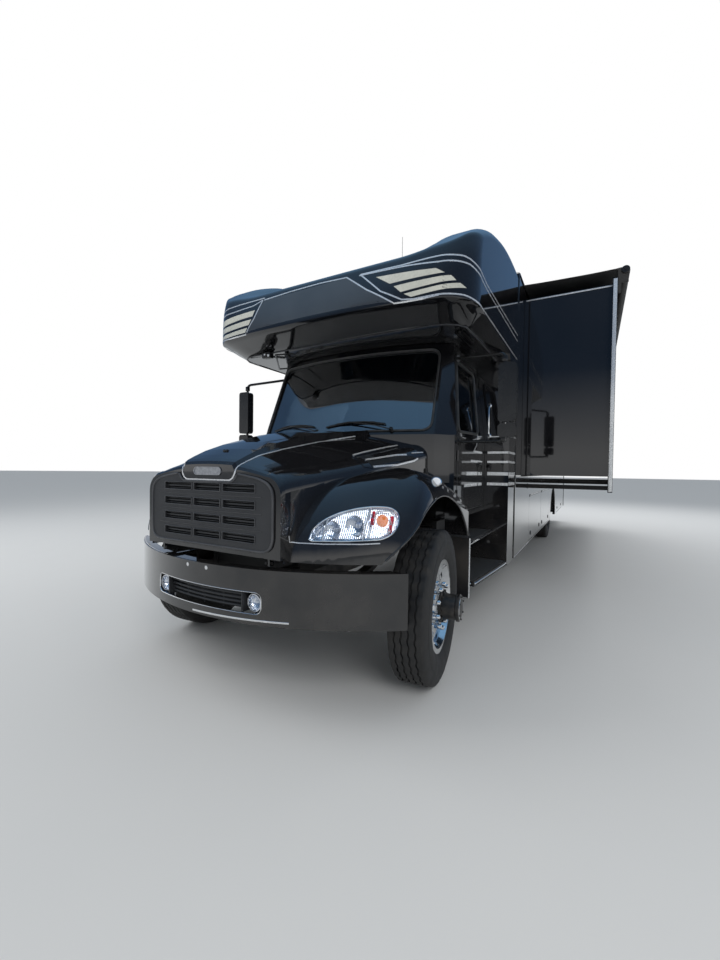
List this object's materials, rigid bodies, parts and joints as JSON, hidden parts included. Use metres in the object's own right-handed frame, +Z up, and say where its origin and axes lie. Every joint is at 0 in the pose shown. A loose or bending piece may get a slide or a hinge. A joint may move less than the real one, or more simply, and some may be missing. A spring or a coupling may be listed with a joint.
{
  "type": "motorhome",
  "caption": "Motorhome on a bonneted medium truck chassis: tilting hood, cab and entry doors, luggage doors, steered wheels, twin rear wheels and a full-length slide-out room.",
  "frame": {"origin": "on the ground under the middle of the whole vehicle's bounding box, slide-out extended", "axes": "+X to the vehicle's left (the driver's and slide-out side), +Y to its rear, +Z up"},
  "size_m": [3.7769, 11.8, 3.87],
  "materials": {
    "gloss_black": "gloss",
    "chassis_black": "satin",
    "engine_grey": "matte",
    "radiator_black": "matte",
    "tank_aluminium": "satin",
    "zinc_steel": "satin",
    "lamp_clear": "gloss",
    "lamp_red": "gloss",
    "grille_charcoal": "matte",
    "tinted_glass": "gloss",
    "interior_grey": "matte",
    "seat_grey": "satin",
    "mirror_black": "gloss",
    "polished_aluminium": "polished",
    "tyre": "matte",
    "floor_wood": "matte",
    "roof_white": "satin",
    "slide_dark": "gloss",
    "awning_tan": "matte",
    "awning_cloth": "matte",
    "unit_black": "satin",
    "silver_trim": "satin",
    "lamp_amber": "gloss",
    "rubber": "matte",
    "cream_stripe": "gloss",
    "awning_case": "satin"
  },
  "bodies": {
    "chassis": {"frame_rails": "chassis_black", "front_axle": "chassis_black", "rear_axle": "chassis_black", "engine_block": "engine_grey", "radiator": "radiator_black", "fuel_tank": "tank_aluminium", "levelling_jacks": "zinc_steel", "hitch_receiver": "chassis_black", "front_bumper": "gloss_black", "fog_lamps": "lamp_clear", "cab_shell": "gloss_black", "windscreen": "tinted_glass", "dashboard": "interior_grey", "cab_seats": "seat_grey", "cab_steps": "chassis_black", "coach_wall_left": "gloss_black", "coach_wall_right": "gloss_black", "over_cab_cap": "gloss_black", "coach_floor": "floor_wood", "coach_rear_wall": "gloss_black", "coach_roof": "roof_white", "coach_windows": "tinted_glass", "storage_boxes": "zinc_steel", "entry_stairwell": "chassis_black", "roof_air_conditioners": "unit_black", "patio_awning": "awning_case", "tail_lamps": "lamp_red", "slide_awning_fabric": "awning_cloth"},
    "hood": {"hood": "gloss_black", "grille": "grille_charcoal", "headlamps": "lamp_clear"},
    "cab_door_left": {"cab_door_left": "gloss_black", "door_glass_left": "tinted_glass", "mirror_left": "mirror_black"},
    "cab_door_right": {"cab_door_right": "gloss_black", "door_glass_right": "tinted_glass", "mirror_right": "mirror_black"},
    "knuckle_left": {"knuckle_left": "chassis_black"},
    "knuckle_right": {"knuckle_right": "chassis_black"},
    "front_wheel_left": {"front_wheel_left": "polished_aluminium", "front_tyre_left": "tyre"},
    "front_wheel_right": {"front_wheel_right": "polished_aluminium", "front_tyre_right": "tyre"},
    "rear_wheels_left": {"rear_wheels_left": "polished_aluminium", "rear_tyres_left": "tyre"},
    "rear_wheels_right": {"rear_wheels_right": "polished_aluminium", "rear_tyres_right": "tyre"},
    "entry_door": {"entry_door": "gloss_black", "entry_door_glass": "tinted_glass"},
    "slide_room": {"slide_outer_wall": "gloss_black", "slide_box": "slide_dark", "slide_windows": "tinted_glass", "slide_arms": "zinc_steel", "slide_awning_roller": "awning_tan"},
    "storage_door_left_front": {"storage_door_left_front": "gloss_black"},
    "storage_door_left_middle": {"storage_door_left_middle": "gloss_black"},
    "storage_door_left_rear": {"storage_door_left_rear": "gloss_black"},
    "storage_door_right_front": {"storage_door_right_front": "gloss_black"},
    "storage_door_right_middle": {"storage_door_right_middle": "gloss_black"},
    "storage_door_right_rear": {"storage_door_right_rear": "gloss_black"}
  },
  "joints": [
    {"name": "hood_tilt", "type": "hinge", "parent": "chassis", "child": "hood", "pos_m": [-0.4085, -5.788, 0.866], "axis": [1, 0, 0], "range_deg": [0, 55]},
    {"name": "cab_door_left_swing", "type": "hinge", "parent": "chassis", "child": "cab_door_left", "pos_m": [0.6275, -4.185, 1.7], "axis": [0, 0, -1], "range_deg": [0, 65]},
    {"name": "cab_door_right_swing", "type": "hinge", "parent": "chassis", "child": "cab_door_right", "pos_m": [-1.4445, -4.185, 1.7], "axis": [0, 0, 1], "range_deg": [0, 65]},
    {"name": "steer_left", "type": "hinge", "parent": "chassis", "child": "knuckle_left", "pos_m": [0.5215, -4.92, 0.5015], "axis": [0, 0, 1], "range_deg": [-46, 34]},
    {"name": "steer_right", "type": "hinge", "parent": "chassis", "child": "knuckle_right", "pos_m": [-1.3385, -4.92, 0.5015], "axis": [0, 0, 1], "range_deg": [-46, 34]},
    {"name": "front_wheel_left_spin", "type": "hinge", "parent": "knuckle_left", "child": "front_wheel_left", "pos_m": [0.64482, -4.90704, 0.5015], "axis": [0.9945, 0.1045, 0], "continuous": true},
    {"name": "rear_wheels_left_spin", "type": "hinge", "parent": "chassis", "child": "rear_wheels_left", "pos_m": [0.4965, 2.2, 0.5015], "axis": [1, 0, 0], "continuous": true},
    {"name": "front_wheel_right_spin", "type": "hinge", "parent": "knuckle_right", "child": "front_wheel_right", "pos_m": [-1.46182, -4.93296, 0.5015], "axis": [0.9945, 0.1045, 0], "continuous": true},
    {"name": "rear_wheels_right_spin", "type": "hinge", "parent": "chassis", "child": "rear_wheels_right", "pos_m": [-1.3135, 2.2, 0.5015], "axis": [1, 0, 0], "continuous": true},
    {"name": "entry_door_swing", "type": "hinge", "parent": "chassis", "child": "entry_door", "pos_m": [-1.6825, -2.534, 1.8], "axis": [0, 0, 1], "range_deg": [0, 110]},
    {"name": "storage_door_left_front_lift", "type": "hinge", "parent": "chassis", "child": "storage_door_left_front", "pos_m": [0.8655, -0.9, 1.093], "axis": [0, -1, 0], "range_deg": [0, 85]},
    {"name": "storage_door_left_middle_lift", "type": "hinge", "parent": "chassis", "child": "storage_door_left_middle", "pos_m": [0.8655, 0.56, 1.093], "axis": [0, -1, 0], "range_deg": [0, 85]},
    {"name": "storage_door_left_rear_lift", "type": "hinge", "parent": "chassis", "child": "storage_door_left_rear", "pos_m": [0.8655, 4.05, 1.093], "axis": [0, -1, 0], "range_deg": [0, 85]},
    {"name": "storage_door_right_front_lift", "type": "hinge", "parent": "chassis", "child": "storage_door_right_front", "pos_m": [-1.6825, -0.9, 1.093], "axis": [0, 1, 0], "range_deg": [0, 85]},
    {"name": "storage_door_right_middle_lift", "type": "hinge", "parent": "chassis", "child": "storage_door_right_middle", "pos_m": [-1.6825, 0.56, 1.093], "axis": [0, 1, 0], "range_deg": [0, 85]},
    {"name": "storage_door_right_rear_lift", "type": "hinge", "parent": "chassis", "child": "storage_door_right_rear", "pos_m": [-1.6825, 4.05, 1.093], "axis": [0, 1, 0], "range_deg": [0, 85]},
    {"name": "slide_out", "type": "slide", "parent": "chassis", "child": "slide_room", "axis": [1, 0, 0], "range_m": [-0.87, 0]}
  ],
  "couplings": [
    {"joint": "steer_right", "follows": "steer_left", "ratio": 1}
  ]
}
